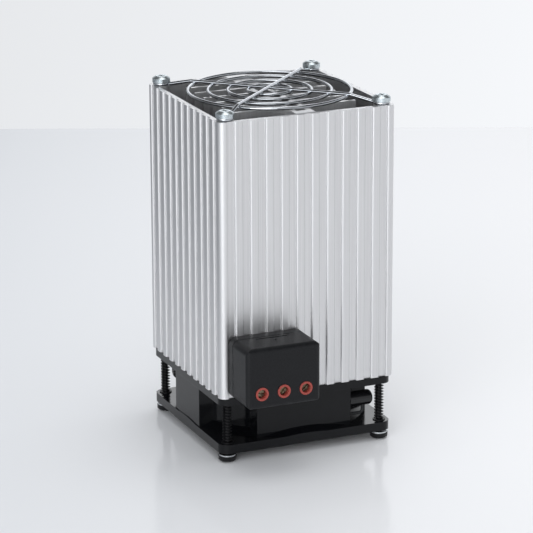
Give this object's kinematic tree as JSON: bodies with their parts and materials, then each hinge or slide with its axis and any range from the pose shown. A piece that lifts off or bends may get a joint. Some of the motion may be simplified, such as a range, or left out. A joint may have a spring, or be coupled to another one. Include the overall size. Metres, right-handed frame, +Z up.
{
  "type": "enclosure heater",
  "caption": "Upright fan heater for electrical enclosures: square ribbed aluminium extrusion with wire guard on top, terminal box on the front and an axial fan below",
  "frame": {"origin": "middle of the bounding box at the level of the screw heads the heater stands on", "axes": "+Z up along the extrusion, -Y towards the terminal box, X across the front face"},
  "size_m": [0.081, 0.1014, 0.1533],
  "materials": {
    "anodised_aluminium": "natural anodised",
    "plated_wire": "bright plated",
    "zinc_steel": "zinc plated",
    "black_steel": "black finish",
    "black_plastic": "fine matt",
    "fan_plastic": "satin",
    "red_plastic": "satin",
    "bobbin_plastic": "satin",
    "brass_parts": "bright",
    "copper_wire": "enamelled",
    "core_steel": "rolled sheet",
    "electrode_aluminium": "rolled",
    "stone_ceramic": "fired ceramic",
    "amber_film": "film",
    "lead_insulation": "silicone",
    "black_rubber": "satin"
  },
  "bodies": {
    "housing": {"heatsink_profile": "anodised_aluminium", "finger_guard": "plated_wire", "guard_screws": "zinc_steel", "terminal_base": "black_plastic", "terminal_cover": "black_plastic", "terminal_sleeves": "red_plastic", "terminal_screws": "zinc_steel", "terminal_clamps": "brass_parts", "terminal_fixings": "zinc_steel", "earth_strap": "brass_parts", "lead_grommet": "black_rubber", "heater_leads": "lead_insulation", "ptc_stones": "stone_ceramic", "electrode_plates": "electrode_aluminium", "insulating_film": "amber_film", "spring_plate": "zinc_steel", "fan_frame": "fan_plastic", "bearing_tube": "brass_parts", "fan_bearings": "zinc_steel", "stator_core": "core_steel", "coil_bobbins": "bobbin_plastic", "stator_windings": "copper_wire", "base_screws": "black_steel", "base_washers": "plated_wire", "retaining_washers": "black_plastic", "lead_sleeves": "black_rubber", "fan_leads": "black_rubber"},
    "impeller": {"impeller": "fan_plastic", "rotor_ring": "core_steel", "fan_shaft": "zinc_steel", "shaft_clip": "zinc_steel"}
  },
  "joints": [
    {"name": "fan_spin", "type": "hinge", "parent": "housing", "child": "impeller", "pos_m": [0, 0.01015, 0.018], "axis": [0, 0, 1], "continuous": true}
  ]
}
